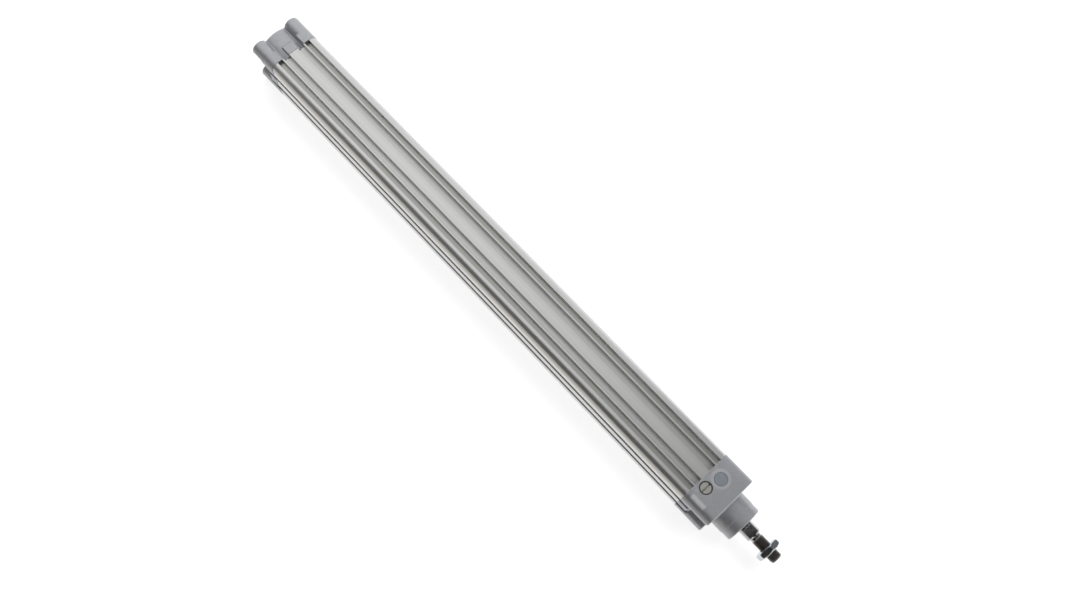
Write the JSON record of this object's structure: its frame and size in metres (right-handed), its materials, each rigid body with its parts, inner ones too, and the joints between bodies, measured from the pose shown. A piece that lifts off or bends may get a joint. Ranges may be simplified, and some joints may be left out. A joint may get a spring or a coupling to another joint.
{
  "type": "double-acting cylinder",
  "caption": "Double-acting cylinder with a ribbed profile barrel, square end caps, adjustable end cushioning and a threaded piston rod with a thin nut.",
  "frame": {"origin": "centre of the bearing cap's front face, on the rod's axis", "axes": "+X along the axis towards the rod's tip, +Z out of the bearing cap's port side"},
  "size_m": [0.5698, 0.0463, 0.0463],
  "materials": {
    "anodised_aluminium": "clear anodised, drawn lengthwise",
    "cap_casting": "fine cast texture, painted light grey",
    "bright_steel": "zinc plated",
    "rod_chrome": "hard chrome, polished",
    "piston_aluminium": "turned",
    "bronze": "sintered",
    "brass": "turned and nickel plated",
    "magnet": "matt",
    "black_rubber": "matt",
    "black_plastic": "matt",
    "guide_plastic": "matt",
    "plug_plastic": "satin"
  },
  "bodies": {
    "housing": {"barrel_profile": "anodised_aluminium", "bearing_cap": "cap_casting", "end_cap": "cap_casting", "front_cap_screws": "bright_steel", "rear_cap_screws": "bright_steel", "rod_bearing_bush": "bronze", "rod_wiper_seal": "black_rubber", "front_barrel_seal": "black_rubber", "rear_barrel_seal": "black_rubber", "front_cushion_seal": "black_rubber", "rear_cushion_seal": "black_rubber", "front_screw_retainer": "black_plastic", "rear_screw_retainer": "black_plastic"},
    "piston_rings": {"piston_seal_front": "black_rubber", "piston_seal_rear": "black_rubber", "piston_guide_ring": "guide_plastic"},
    "rod": {"piston_rod": "rod_chrome", "piston_front_half": "piston_aluminium", "piston_rear_half": "piston_aluminium", "piston_magnet": "magnet", "front_cushion_spear": "piston_aluminium", "rear_cushion_spear": "piston_aluminium", "piston_nut": "bright_steel", "front_bumper": "black_rubber", "rear_bumper": "black_rubber"},
    "nut": {"rod_nut": "bright_steel"},
    "front_plug": {"front_port_plug": "plug_plastic"},
    "rear_plug": {"rear_port_plug": "plug_plastic"},
    "front_screw_ring": {"front_screw_seal": "black_rubber"},
    "rear_screw_ring": {"rear_screw_seal": "black_rubber"},
    "front_screw": {"front_cushion_screw": "brass"},
    "rear_screw": {"rear_cushion_screw": "brass"}
  },
  "joints": [
    {"name": "rod_slide", "type": "slide", "parent": "housing", "child": "piston_rings", "axis": [1, 0, 0], "range_m": [-0.0028, 0.4222]},
    {"name": "rod_turn", "type": "hinge", "parent": "piston_rings", "child": "rod", "pos_m": [0, 0, 0], "axis": [1, 0, 0], "continuous": true},
    {"name": "nut_travel", "type": "slide", "parent": "rod", "child": "nut", "axis": [1, 0, 0], "range_m": [-0.008, 0.0055]},
    {"name": "front_plug_pull", "type": "slide", "parent": "housing", "child": "front_plug", "axis": [0, 0, 1], "range_m": [0, 0.02]},
    {"name": "rear_plug_pull", "type": "slide", "parent": "housing", "child": "rear_plug", "axis": [0, 1, 0], "range_m": [0, 0.02]},
    {"name": "front_screw_lift", "type": "slide", "parent": "housing", "child": "front_screw_ring", "axis": [0, 0, 1], "range_m": [0, 0.0014]},
    {"name": "front_screw_turn", "type": "hinge", "parent": "front_screw_ring", "child": "front_screw", "pos_m": [-0.0194, -0.0065, 0], "axis": [0, 0, 1], "range_deg": [0, 1000]},
    {"name": "rear_screw_lift", "type": "slide", "parent": "housing", "child": "rear_screw_ring", "axis": [0, 1, 0], "range_m": [0, 0.0014]},
    {"name": "rear_screw_turn", "type": "hinge", "parent": "rear_screw_ring", "child": "rear_screw", "pos_m": [-0.4996, 0, -0.0065], "axis": [0, 1, 0], "range_deg": [0, 1000]}
  ],
  "couplings": [
    {"joint": "front_screw_lift", "follows": "front_screw_turn", "m_per_rad": 0.000079577},
    {"joint": "rear_screw_lift", "follows": "rear_screw_turn", "m_per_rad": 0.000079577}
  ]
}
